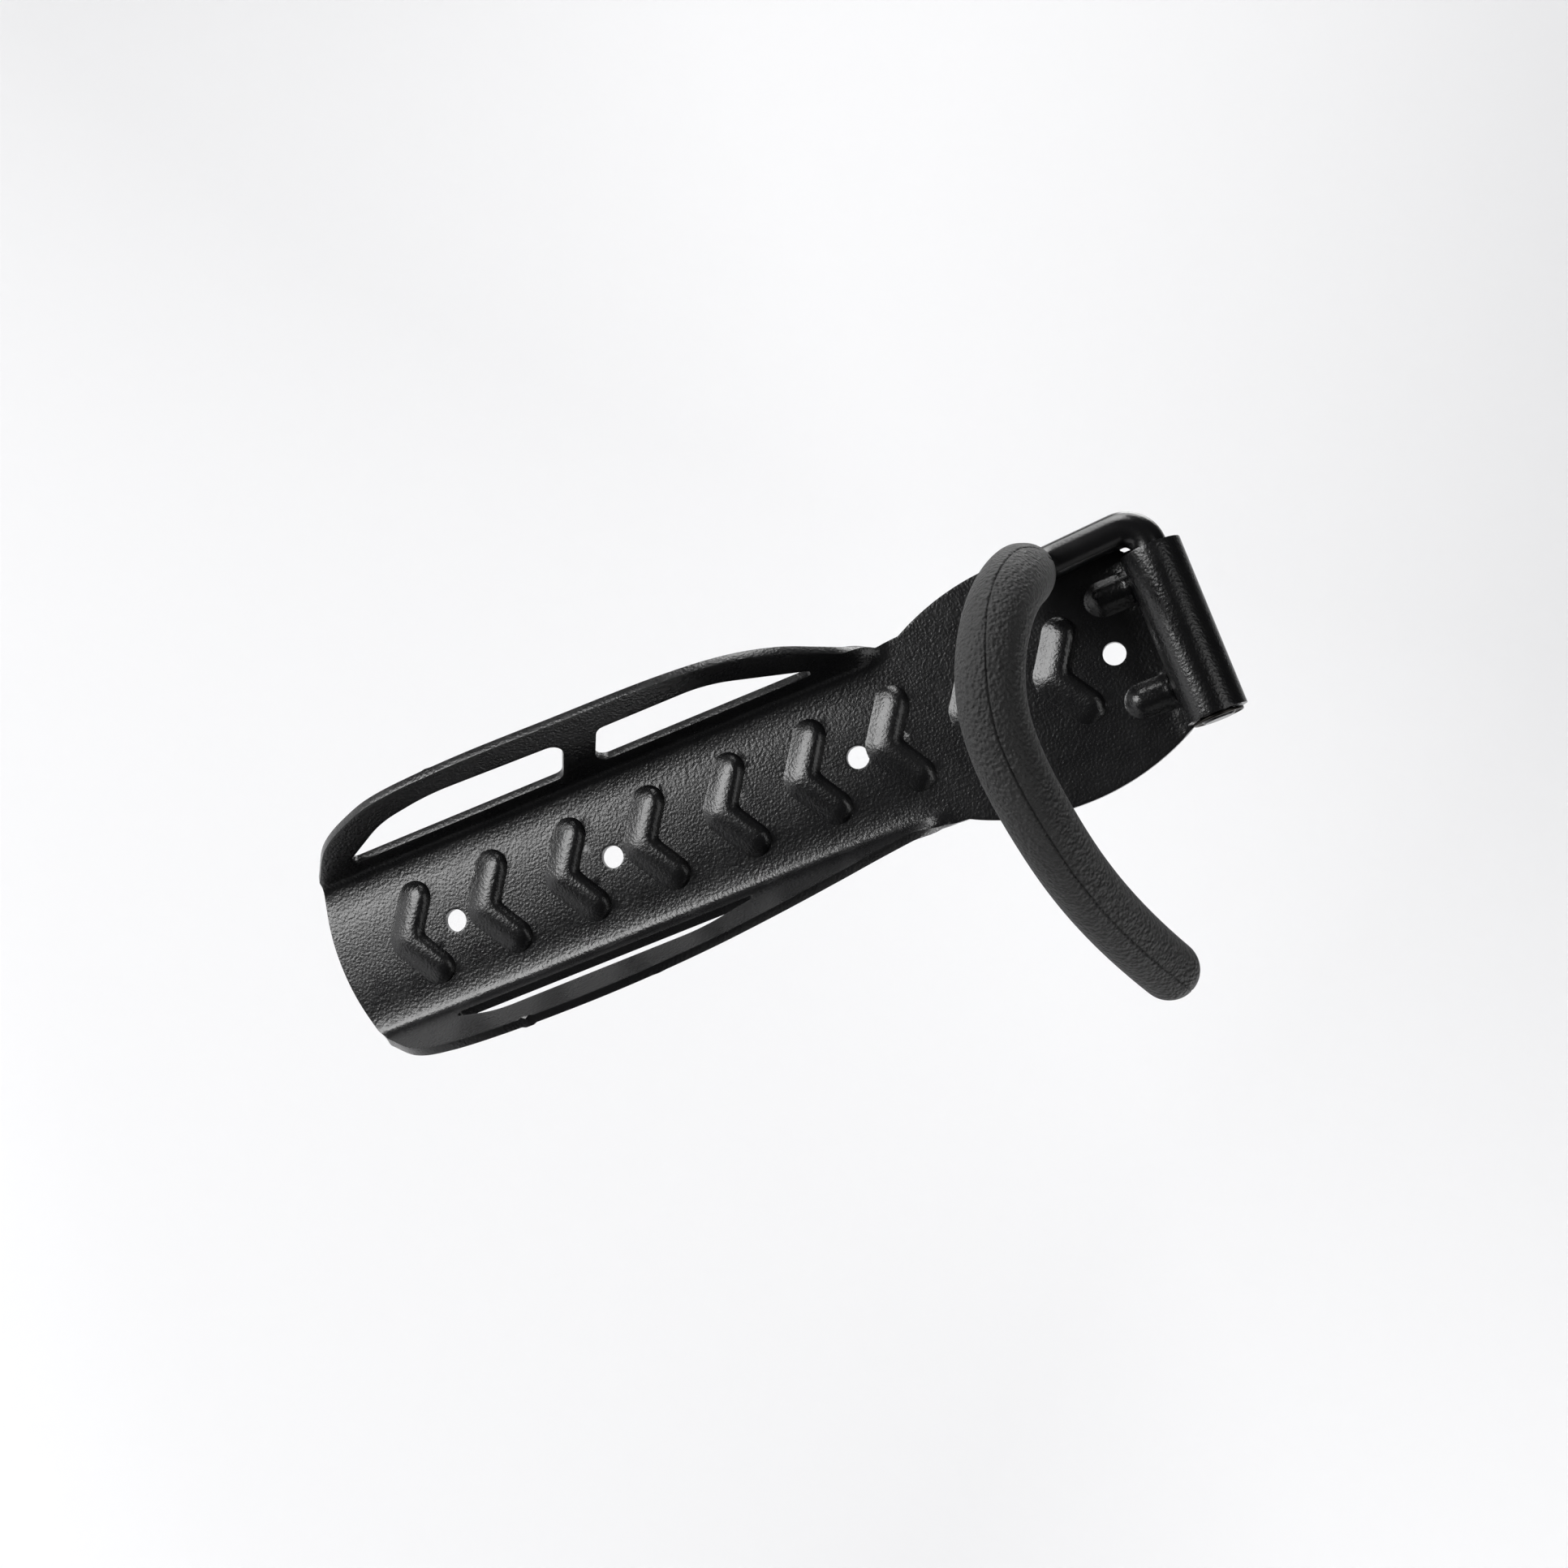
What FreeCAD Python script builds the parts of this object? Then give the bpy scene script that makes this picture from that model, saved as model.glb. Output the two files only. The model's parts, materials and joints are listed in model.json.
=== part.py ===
# Bicycle wall rack: a stamped wall plate with a tyre tray, and a swinging rod hook in a rubber sleeve.
# Units are millimetres. X runs to the right as seen from the room, Y into the wall, Z up.
# The origin is on the wall face, midway between the highest and the lowest screw hole.
import FreeCAD, Part
import math
import os

V = FreeCAD.Vector

# ---- wall plate: one blank of sheet steel -------------------------------------------------------
SHEET = 2.5                    # sheet thickness
HEAD_HALF = 35.9               # half width of the round head
HEAD_MID_Z = 82.0              # height of the head's widest point
HEAD_CORNER = (27.5, 115.0)    # where the head's side runs into the hinge tab
NECK_HALF = 27.9
NECK_TOP_Z = 48.5
NECK_FOOT_Z = 40.0             # the side flanges start here
FLOOR_HALF = 22.0              # half width of the flat tray floor, where the bends start
TRAY_END = [(-22.0, -138.9), (-2.0, -141.0), (22.0, -136.9)]     # three points of the curved tray end

# ---- side flanges of the tray, laid out on the flat blank ----------------------------------------
FLARE = 62.0                   # angle between a flange and the wall, degrees
BEND_INNER_R = 3.5
FOLD_OFFSET = (BEND_INNER_R + SHEET / 2) * math.tan(math.radians(FLARE / 2))
FOLD_X = FLOOR_HALF + FOLD_OFFSET      # sharp fold line that the bend rounds off
PANEL_FOOT = FOLD_OFFSET               # distance from the fold line at which a flange turns flat
# on a flange, a point is (distance from the fold line, height)
LEFT_RIM = [(3.2, 41.0), (13.1, 28.3), (20.9, 17.0), (26.4, 2.5), (29.2, -18.0), (30.2, -48.0), (30.9, -78.0),
            (29.4, -103.0), (25.0, -116.3), (17.2, -128.2), (4.0, -137.6)]
RIGHT_RIM = [(3.2, 41.0), (8.2, 23.5), (13.4, 8.0), (19.0, -10.5), (23.6, -30.0), (26.2, -50.0),
             (27.0, -70.0), (26.0, -93.0), (23.2, -110.5), (17.6, -122.5), (4.0, -133.6)]
# slot corners, each with its rounding radius: (distance from the fold line, height, radius)
UPPER_SLOT = [(6.0, 26.7, 1.2), (20.5, -4.7, 35.0), (20.6, -38.8, 3.5), (6.1, -45.8, 3.0)]
LOWER_SLOT = [(6.1, -56.0, 3.0), (21.1, -48.9, 3.5), (22.8, -91.3, 60.0), (19.3, -108.6, 30.0),
              (6.2, -127.9, 1.5)]
LONG_SLOT = [(4.7, -11.4, 1.2), (13.6, -31.4, 30.0), (14.2, -96.3, 25.0), (5.2, -114.9, 1.5)]

# ---- hinge barrel, rolled from the tab at the top of the plate -----------------------------------
BORE_R = 6.1
BARREL_R = BORE_R + SHEET
BARREL_X = (-22.6, 26.7)
TAB_X = (-25.2, 26.7)
TAB_SHOULDER_Z = 116.5         # above this height the tab is as wide as the roll on the right
HINGE_Y = -BARREL_R
HINGE_Z = 122.6
ROLL_GAP = 0.6                 # open seam between the rolled lip and the plate
RIB_X = 15.4                   # two stamped ribs brace the foot of the roll
RIB_R = 4.6
RIB_FOOT_Z = 103.8

# ---- screw holes and raised chevrons -------------------------------------------------------------
SCREW_R = 3.3
SCREW_Z = (-102.9, -51.8, 25.5, 102.9)
CHEVRON_COUNT = 9
CHEVRON_PITCH = 25.4
CHEVRON_FIRST_Z = -113.7       # upper apex of the lowest chevron
CHEVRON_W = 8.2
CHEVRON_HALF = 15.5
CHEVRON_SLOPE = 33.0
CHEVRON_RISE = 2.6
CHEVRON_DRAFT = 1.5

# ---- hook: a bent rod in a moulded sleeve --------------------------------------------------------
ROD_R = 5.0
ROD_END_X = 28.3
LEG_TOP = V(-30.8, HINGE_Y, HINGE_Z)
LEG_FOOT = V(-29.2, HINGE_Y, 88.3)
TOP_BEND_R = 6.8
FOOT_BEND_R = 9.5
ARM_START = V(-17.0, -75.0, 89.3)      # end of the straight run away from the wall
# poles of the smooth curve that follows: down, across in front of the plate, and up to the tip
ARM_POLES = [ARM_START, V(-14.7, -87.3, 89.5), V(-9.6, -107.3, 84.2), V(14.6, -111.9, 70.9),
             V(42.8, -101.1, 73.0), V(67.5, -75.5, 77.1), V(86.0, -53.0, 86.5)]
SLEEVE_START = 7.0             # distance of the sleeve's foot in front of the leg's corner
SLEEVE_R_FOOT = 8.7
SLEEVE_R_TIP = 7.8
ROD_SHORT = 4.0                # the rod stops this far before the centre of the domed tip

# ---- push-on ring that keeps the rod in the barrel -----------------------------------------------
RING_R = 7.2
RING_W = 0.9
RING_GAP = 0.35


def floor_outline():
    """Front outline of the flat part of the plate, from the hinge tab down to the tray end."""
    cx, cz = HEAD_CORNER
    right_top, left_top = V(TAB_X[1], 0, HINGE_Z), V(TAB_X[0], 0, HINGE_Z)
    shoulder = V(TAB_X[1], 0, TAB_SHOULDER_Z)
    tray_end = [V(x, 0, z) for x, z in TRAY_END]
    edges = [
        Part.makeLine(left_top, right_top),
        Part.makeLine(right_top, shoulder),
        Part.makeLine(shoulder, V(cx, 0, cz)),
        Part.Arc(V(cx, 0, cz), V(HEAD_HALF, 0, HEAD_MID_Z), V(NECK_HALF, 0, NECK_TOP_Z)).toShape(),
        Part.makeLine(V(NECK_HALF, 0, NECK_TOP_Z), V(NECK_HALF, 0, NECK_FOOT_Z)),
        Part.makeLine(V(NECK_HALF, 0, NECK_FOOT_Z), V(FLOOR_HALF, 0, NECK_FOOT_Z)),
        Part.makeLine(V(FLOOR_HALF, 0, NECK_FOOT_Z), tray_end[2]),
        Part.Arc(*tray_end).toShape(),
        Part.makeLine(tray_end[0], V(-FLOOR_HALF, 0, NECK_FOOT_Z)),
        Part.makeLine(V(-FLOOR_HALF, 0, NECK_FOOT_Z), V(-NECK_HALF, 0, NECK_FOOT_Z)),
        Part.makeLine(V(-NECK_HALF, 0, NECK_FOOT_Z), V(-NECK_HALF, 0, NECK_TOP_Z)),
        Part.Arc(V(-NECK_HALF, 0, NECK_TOP_Z), V(-HEAD_HALF, 0, HEAD_MID_Z), V(-cx, 0, cz)).toShape(),
        Part.makeLine(V(-cx, 0, cz), V(TAB_X[0], 0, cz)),
        Part.makeLine(V(TAB_X[0], 0, cz), left_top),
    ]
    return Part.Face(Part.Wire(Part.__sortEdges__(edges)))


def bend_arc(before, corner, after, radius):
    """Round the corner between two straight runs; gives the arc and its two ends."""
    a, b = (before - corner).normalize(), (after - corner).normalize()
    half = a.getAngle(b) / 2
    reach = radius / math.tan(half)
    start, end = corner + a * reach, corner + b * reach
    centre = corner + (a + b).normalize() * (radius / math.sin(half))
    middle = centre + (corner - centre).normalize() * radius
    return Part.Arc(start, middle, end).toShape(), start, end


def slot_face(corners):
    """Closed outline with straight sides and rounded corners."""
    points = [V(s, 0, z) for s, z, r in corners]
    arcs = [bend_arc(points[i - 1], points[i], points[(i + 1) % len(points)], corners[i][2])
            for i in range(len(points))]
    edges = []
    for i, (arc, start, end) in enumerate(arcs):
        edges += [arc, Part.makeLine(end, arcs[(i + 1) % len(arcs)][1])]
    return Part.Face(Part.Wire(edges))


def flange(side, rim_points, slots):
    """One flared side of the tray: bend and flat panel, trimmed to its rim and pierced by slots."""
    rim = Part.BSplineCurve()
    rim.interpolate([V(s, 0, z) for s, z in rim_points])
    first, last = rim.StartPoint, rim.EndPoint
    foot_top, foot_end = V(PANEL_FOOT, 0, first.z), V(PANEL_FOOT, 0, last.z)
    blank = Part.Face(Part.Wire([rim.toShape(), Part.makeLine(last, foot_end),
                                 Part.makeLine(foot_end, foot_top), Part.makeLine(foot_top, first)]))
    panel = blank.extrude(V(0, SHEET, 0))
    for outline in slots:
        panel = panel.cut(slot_face(outline).translated(V(0, -SHEET, 0)).extrude(V(0, 3 * SHEET, 0)))
    panel.translate(V(0, -SHEET / 2, 0))
    panel.rotate(V(0, 0, 0), V(0, 0, 1), -FLARE)
    panel.translate(V(FOLD_X, -SHEET / 2, 0))

    length = first.z - last.z
    centre = V(FLOOR_HALF, -SHEET - BEND_INNER_R, last.z)
    outer = Part.makeCylinder(BEND_INNER_R + SHEET, length, centre, V(0, 0, 1), FLARE)
    inner = Part.makeCylinder(BEND_INNER_R, length, centre, V(0, 0, 1), FLARE)
    bend = outer.cut(inner)
    bend.rotate(centre, V(0, 0, 1), 90 - FLARE)
    shape = panel.fuse(bend)
    return shape.mirror(V(0, 0, 0), V(1, 0, 0)) if side < 0 else shape


def chevron_face(width):
    """V-shaped outline of one chevron with round arm ends, upper apex at the origin."""
    slope = math.radians(CHEVRON_SLOPE)
    drop = CHEVRON_W / 2 / math.cos(slope)
    reach = CHEVRON_HALF - CHEVRON_W / 2
    apex, half = V(0, 0, -drop), width / 2
    arms = []
    for side in (-1, 1):
        end = V(side * reach, 0, -drop + reach * math.tan(slope))
        along = (end - apex).normalize()
        across = V(-along.z, 0, along.x)
        corners = [apex + across * half, end + across * half, end - across * half, apex - across * half]
        arm = Part.Face(Part.makePolygon(corners + [corners[0]]))
        cap = Part.Face(Part.Wire(Part.makeCircle(half, end, V(0, 1, 0))))
        arms += [arm, cap]
    knee = Part.Face(Part.Wire(Part.makeCircle(half, apex, V(0, 1, 0))))
    return arms[0].fuse(arms[1:] + [knee]).removeSplitter()


def chevron(z, width, base_y, rise):
    face = chevron_face(width)
    face.translate(V(0, base_y, z))
    return face.extrude(V(0, -rise, 0))


def barrel():
    """The rolled end of the tab: a tube that is open along a thin seam next to the plate."""
    length = BARREL_X[1] - BARREL_X[0]
    start, axis = V(BARREL_X[0], HINGE_Y, HINGE_Z), V(1, 0, 0)
    tube = Part.makeCylinder(BARREL_R, length, start, axis)
    seam = Part.makeBox(length, SHEET + ROLL_GAP, BARREL_R + 1,
                        V(BARREL_X[0], -SHEET - ROLL_GAP, HINGE_Z - BARREL_R - 1))
    return tube.cut(seam)


def root_rib(x):
    """A stamped rib that climbs from the plate towards the underside of the roll."""
    foot, top = V(x, 0.6, RIB_FOOT_Z), V(x, -3.4, HINGE_Z - BARREL_R + 0.6)
    run = top - foot
    body = Part.makeCylinder(RIB_R, run.Length, foot, run).fuse(Part.makeSphere(RIB_R, foot))
    keep = Part.makeBox(4 * RIB_R, 20, 30, V(x - 2 * RIB_R, -21.2, RIB_FOOT_Z - 2 * RIB_R))
    return body.common(keep)


def wall_plate():
    plate = floor_outline().extrude(V(0, -SHEET, 0))
    sides = [flange(-1, LEFT_RIM, [UPPER_SLOT, LOWER_SLOT]), flange(1, RIGHT_RIM, [LONG_SLOT])]
    plate = plate.fuse(sides + [barrel()])
    plate = plate.fuse([root_rib(-RIB_X), root_rib(RIB_X)])
    plate = plate.cut(Part.makeCylinder(BORE_R, 80, V(-40, HINGE_Y, HINGE_Z), V(1, 0, 0)))
    for i in range(CHEVRON_COUNT):
        z = CHEVRON_FIRST_Z + i * CHEVRON_PITCH
        ridge = chevron(z, CHEVRON_W, -SHEET + 0.2, CHEVRON_RISE + 0.2)
        top_edges = [e for e in ridge.Edges if e.BoundBox.YMax < -SHEET - CHEVRON_RISE + 0.01]
        plate = plate.fuse(ridge.makeChamfer(CHEVRON_DRAFT, top_edges))
        plate = plate.cut(chevron(z, CHEVRON_W - 2 * SHEET, 0.1, CHEVRON_RISE + 0.1))
    for z in SCREW_Z:
        plate = plate.cut(Part.makeCylinder(SCREW_R, 20, V(0, -10, z), V(0, 1, 0)))
    return plate


def arm_curve():
    """The curved end of the hook, a uniform cubic spline that starts and ends at its end poles."""
    curve = Part.BSplineCurve()
    curve.buildFromPoles(ARM_POLES, False, 3)
    return curve


def sweep(edges, radius):
    wire = Part.Wire(edges)
    start = wire.Edges[0].valueAt(wire.Edges[0].FirstParameter)
    heading = wire.Edges[0].tangentAt(wire.Edges[0].FirstParameter)
    profile = Part.Wire(Part.makeCircle(radius, start, heading))
    return wire.makePipeShell([profile], True, False)


def hook_rod():
    end = V(ROD_END_X, HINGE_Y, HINGE_Z)
    top_arc, a, b = bend_arc(end, LEG_TOP, LEG_FOOT, TOP_BEND_R)
    foot_arc, c, d = bend_arc(LEG_TOP, LEG_FOOT, ARM_START, FOOT_BEND_R)
    curve = arm_curve()
    stop = curve.parameterAtDistance(curve.length() - ROD_SHORT, curve.FirstParameter)
    arm = curve.toShape(curve.FirstParameter, stop)
    edges = [Part.makeLine(end, a), top_arc, Part.makeLine(b, c), foot_arc, Part.makeLine(d, ARM_START), arm]
    return sweep(edges, ROD_R)


def grip_sleeve(rod):
    """Moulded sleeve over the hook's arm, thicker at the foot, with a domed tip."""
    curve = arm_curve()
    along = (ARM_START - LEG_FOOT).normalize()
    foot = LEG_FOOT + along * SLEEVE_START
    heading = curve.tangent(curve.LastParameter)[0]
    shell = Part.BRepOffsetAPI.MakePipeShell(Part.Wire([Part.makeLine(foot, ARM_START), curve.toShape()]))
    shell.add(Part.Wire(Part.makeCircle(SLEEVE_R_FOOT, foot, along)), False, False)
    shell.add(Part.Wire(Part.makeCircle(SLEEVE_R_TIP, curve.EndPoint, heading)), False, False)
    shell.build()
    shell.makeSolid()
    sleeve = shell.shape().fuse(Part.makeSphere(SLEEVE_R_TIP, curve.EndPoint))
    return sleeve.cut(rod)


def retaining_ring():
    x = BARREL_X[1] + RING_GAP
    ring = Part.makeCylinder(RING_R, RING_W, V(x, HINGE_Y, HINGE_Z), V(1, 0, 0))
    return ring.cut(Part.makeCylinder(ROD_R, RING_W, V(x, HINGE_Y, HINGE_Z), V(1, 0, 0)))


def main():
    os.makedirs("parts", exist_ok=True)
    rod = hook_rod()
    nodes = {"wall_plate": wall_plate(), "hook_rod": rod, "grip_sleeve": grip_sleeve(rod),
             "retaining_ring": retaining_ring()}
    for name, shape in nodes.items():
        shape.exportStep("parts/" + name + ".step")
        print(name, shape.ShapeType, len(shape.Solids), shape.isValid(), round(shape.Volume), shape.BoundBox)


main()
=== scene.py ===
import json
import math

import bmesh
import bpy
import numpy as np
from bpy.props import FloatProperty, FloatVectorProperty, IntProperty, PointerProperty
from mathutils import Matrix, Vector
from mathutils.geometry import delaunay_2d_cdt


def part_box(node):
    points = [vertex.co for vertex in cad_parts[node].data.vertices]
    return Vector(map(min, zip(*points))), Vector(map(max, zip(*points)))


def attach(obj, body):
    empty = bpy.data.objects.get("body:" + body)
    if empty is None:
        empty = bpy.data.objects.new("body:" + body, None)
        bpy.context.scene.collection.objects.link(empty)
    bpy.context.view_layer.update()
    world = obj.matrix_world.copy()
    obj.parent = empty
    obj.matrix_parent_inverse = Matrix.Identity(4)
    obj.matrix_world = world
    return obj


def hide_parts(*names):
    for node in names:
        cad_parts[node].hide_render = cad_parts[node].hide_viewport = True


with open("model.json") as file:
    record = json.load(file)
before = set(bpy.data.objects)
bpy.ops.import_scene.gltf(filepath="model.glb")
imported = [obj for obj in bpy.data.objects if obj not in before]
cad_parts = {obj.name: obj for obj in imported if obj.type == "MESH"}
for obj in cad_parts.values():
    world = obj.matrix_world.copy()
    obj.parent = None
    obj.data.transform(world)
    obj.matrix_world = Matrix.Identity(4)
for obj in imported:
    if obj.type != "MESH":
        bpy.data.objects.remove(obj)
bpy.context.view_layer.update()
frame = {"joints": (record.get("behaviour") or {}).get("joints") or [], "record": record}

bl_info = {
    "name": "Bicycle Wall Rack",
    "version": (1, 0, 0),
    "blender": (4, 5, 0),
    "location": "3D View > Sidebar > Wall Rack",
    "description": "Stamped wall plate with a tyre tray and a swinging rod hook in a rubber sleeve",
    "category": "Mesh",
}

# X runs to the right seen from the room, Y into the wall, Z up. Sizes in this file are millimetres
# until a mesh is made, and the frame's own sizes are turned to millimetres here.
MM = 0.001
MOUNTS = {m["name"]: m for m in frame["record"]["mounts"]}
HINGE = Vector(frame["joints"][0]["pos_m"]) / MM
PLATE_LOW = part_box("wall_plate")[0] / MM
RING_LOW, RING_HIGH = (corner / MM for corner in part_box("retaining_ring"))


def linear(hex_colour):
    """sRGB hex to the linear colour that Blender works in."""
    parts = [int(hex_colour[i:i + 2], 16) / 255 for i in (1, 3, 5)]
    return tuple(c / 12.92 if c <= 0.04045 else ((c + 0.055) / 1.055) ** 2.4 for c in parts)


# ---- settings -----------------------------------------------------------------------------------
def length(name, description, default_mm):
    """A size in millimetres, kept by Blender in metres."""
    return FloatProperty(name=name, description=description, default=default_mm * MM, unit="LENGTH",
                         precision=4)


def colour(name, description, hex_colour):
    return FloatVectorProperty(name=name, description=description, default=linear(hex_colour),
                               subtype="COLOR", min=0, max=1)


class PlateSettings(bpy.types.PropertyGroup):
    sheet: length("Sheet", "Thickness of the steel blank", 2.5)
    flare: FloatProperty(name="Flare", description="Angle between a tray side and the wall",
                         default=math.radians(62), subtype="ANGLE")
    bend_radius: length("Bend radius", "Inner radius of the tray's two bends", 3.5)
    floor_half: length("Floor half width", "Half width of the flat tray floor", 22)
    chevron_rise: length("Chevron rise", "Height of a raised chevron", 2.3)
    chevron_width: length("Chevron width", "Width of a chevron's arm at its foot", 9.2)
    rib_rise: length("Rib rise", "Height of the two ribs below the hinge barrel", 3.1)
    edge_round: length("Edge rounding", "Radius left on the cut edges by the powder coat", 0.45)


class HookSettings(bpy.types.PropertyGroup):
    rod_radius: length("Rod radius", "Radius of the steel bar", 5)
    foot_radius: length("Sleeve foot radius", "Outer radius of the sleeve at its open end", 8.7)
    tip_radius: length("Sleeve tip radius", "Outer radius of the sleeve at its closed end", 7.8)
    seam_depth: length("Seam depth", "Depth of the sleeve's mould parting line", 0.42)
    seam_width: length("Seam width", "Width of the sleeve's mould parting line", 0.5)
    prongs: IntProperty(name="Ring prongs", description="Spring prongs of the retaining ring", default=6)


class FinishSettings(bpy.types.PropertyGroup):
    coat: colour("Powder coat", "Colour of the powder coat", "#0d0d0e")
    rubber: colour("Rubber", "Colour of the moulded sleeve", "#191919")
    ring: colour("Ring", "Colour of the oiled spring steel", "#33312f")
    coat_grain: length("Coat grain", "Size of the orange peel in the powder coat", 0.8)
    rubber_grain: length("Rubber grain", "Size of the pebbles in the moulded skin", 0.9)


class StageSettings(bpy.types.PropertyGroup):
    camera: FloatVectorProperty(name="Camera", description="Place of the camera", size=3,
                                default=(0.080, -0.6137, 0.1088), subtype="TRANSLATION")
    target: FloatVectorProperty(name="Target", description="Point in the middle of the view", size=3,
                                default=(-0.0013, 0.0, 0.00235), subtype="TRANSLATION")
    roll: FloatProperty(name="Roll", description="Turn of the camera that lays the rack over to the right",
                        default=math.radians(67.9), subtype="ANGLE")
    lens: FloatProperty(name="Lens", description="Focal length in millimetres on a 36 mm frame",
                        default=50.3)
    backdrop: colour("Backdrop", "Colour of the studio floor and backdrop", "#f4f4f5")


# ---- small helpers ------------------------------------------------------------------------------
def settings():
    return bpy.context.scene.wall_rack_plate, bpy.context.scene.wall_rack_hook


def mesh_object(name, points_mm, faces):
    """A smooth-shaded mesh object at the origin, from points in millimetres."""
    mesh = bpy.data.meshes.new(name)
    mesh.from_pydata([Vector(p) * MM for p in points_mm], [], faces)
    mesh.polygons.foreach_set("use_smooth", [True] * len(mesh.polygons))
    mesh.update()
    piece = bpy.data.objects.new(name, mesh)
    bpy.context.scene.collection.objects.link(piece)
    return piece


def bake_modifiers(piece):
    """Turns a piece with modifiers, or a curve, into one plain mesh object of the same name."""
    bpy.context.view_layer.update()
    evaluated = piece.evaluated_get(bpy.context.evaluated_depsgraph_get())
    mesh = bpy.data.meshes.new_from_object(evaluated)
    name = piece.name
    bpy.data.objects.remove(piece)
    baked = bpy.data.objects.new(name, mesh)
    bpy.context.scene.collection.objects.link(baked)
    return baked


def even_normals(piece, merge_distance=None):
    """Turns every face of a closed piece outward, after joining points that fall together."""
    tidy = bmesh.new()
    tidy.from_mesh(piece.data)
    if merge_distance:
        bmesh.ops.remove_doubles(tidy, verts=tidy.verts, dist=merge_distance)
    bmesh.ops.recalc_face_normals(tidy, faces=tidy.faces)
    tidy.to_mesh(piece.data)
    tidy.free()


def finish_piece(piece, body, node, material):
    """Gives a piece its material, the body it rides on and the node it stands in for."""
    piece.data.materials.clear()
    piece.data.materials.append(material)
    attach(piece, body)
    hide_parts(node)


def smoothstep(t):
    """Eases from 0 at t = 0 to 1 at t = 1."""
    t = min(max(t, 0.0), 1.0)
    return t * t * (3 - 2 * t)


def arc_through(a, b, c, steps):
    """Points on the circle through three plane points, from a to c."""
    (ax, ay), (bx, by), (cx, cy) = a, b, c
    aa, bb, cc = ax ** 2 + ay ** 2, bx ** 2 + by ** 2, cx ** 2 + cy ** 2
    d = 2 * (ax * (by - cy) + bx * (cy - ay) + cx * (ay - by))
    ux = (aa * (by - cy) + bb * (cy - ay) + cc * (ay - by)) / d
    uy = (aa * (cx - bx) + bb * (ax - cx) + cc * (bx - ax)) / d
    start, end = math.atan2(ay - uy, ax - ux), math.atan2(cy - uy, cx - ux)
    turn = (end - start + math.pi) % (2 * math.pi) - math.pi
    radius = math.hypot(ax - ux, ay - uy)
    angles = [start + turn * i / steps for i in range(steps + 1)]
    return [(ux + radius * math.cos(t), uy + radius * math.sin(t)) for t in angles]


def smooth_curve(points, steps):
    """Catmull-Rom curve through a list of points of any dimension."""
    rows = [Vector(p) for p in points]
    rows = [rows[0] * 2 - rows[1]] + rows + [rows[-1] * 2 - rows[-2]]
    curve = []
    for a, b, c, d in zip(rows, rows[1:], rows[2:], rows[3:]):
        for i in range(steps):
            t = i / steps
            curve.append(0.5 * (2 * b + (c - a) * t + (2 * a - 5 * b + 4 * c - d) * t ** 2
                                + (3 * b - 3 * c + d - a) * t ** 3))
    return [tuple(p) for p in curve + [rows[-2]]]


def rounded(corners, spacing):
    """Closed outline from (x, y, radius) corners: straight sides, round corners."""
    outline = []
    for i, (x, y, radius) in enumerate(corners):
        here = Vector((x, y))
        a = (Vector(corners[i - 1][:2]) - here).normalized()
        b = (Vector(corners[(i + 1) % len(corners)][:2]) - here).normalized()
        half = a.angle(b) / 2
        reach = radius / math.tan(half)
        centre = here + (a + b).normalized() * (radius / math.sin(half))
        steps = max(4, int((math.pi - 2 * half) * radius / spacing))
        middle = centre + (here - centre).normalized() * radius
        outline += arc_through(here + a * reach, middle, here + b * reach, steps)
    return outline


def spaced(outline, step, closed=True):
    """Adds points so that no side of an outline is longer than step."""
    result = []
    pairs = zip(outline, outline[1:] + outline[:1]) if closed else zip(outline, outline[1:])
    for (ax, ay), (bx, by) in pairs:
        pieces = max(1, math.ceil(math.hypot(bx - ax, by - ay) / step))
        result += [(ax + (bx - ax) * i / pieces, ay + (by - ay) * i / pieces) for i in range(pieces)]
    return result if closed else result + [outline[-1]]


# ---- wall plate ---------------------------------------------------------------------------------
HEAD_HALF, HEAD_MID_Z = 35.9, 82.0
HEAD_CORNER = (27.5, 115.0)
NECK_HALF, NECK_TOP_Z = 27.9, 48.5
BEND_TOP_Z, BEND_FADE = 45.0, 13.0           # the tray's bends fade out below the neck
TAB_X, TAB_SHOULDER_Z, BARREL_X = (-25.2, 26.7), 116.5, (-22.6, 26.7)
ROLL_GAP = 0.6
TRAY_END = [(-22.0, -138.9), (-2.0, -141.0), (22.0, -136.9)]
DISH_START, DISH_ANGLE = 16.5, math.radians(10)  # the tray floor is dished a little next to its bends
CROWN_HALF, CROWN_RISE = 19.5, 0.7               # and stands a little proud between them
STEP_Z, STEP_RISE = 112.2, 0.5                   # coined line at the foot of the roll
STEP_IN, STEP_FLAT, STEP_OUT = 1.2, 4.0, 4.0     # it rises over 1.2, and fades over 4 after another 4
# on a tray side, a point is (distance from the sharp fold line, height)
LEFT_RIM = [(3.2, 41.0), (13.1, 28.3), (20.9, 17.0), (26.4, 2.5), (29.2, -18.0), (30.2, -48.0),
            (30.9, -78.0), (29.4, -103.0), (25.0, -116.3), (17.2, -128.2), (4.0, -137.6)]
RIGHT_RIM = [(3.2, 41.0), (8.2, 23.5), (13.4, 8.0), (19.0, -10.5), (23.6, -30.0), (26.2, -50.0),
             (27.0, -70.0), (26.0, -93.0), (23.2, -110.5), (17.6, -122.5), (4.0, -133.6)]
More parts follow.
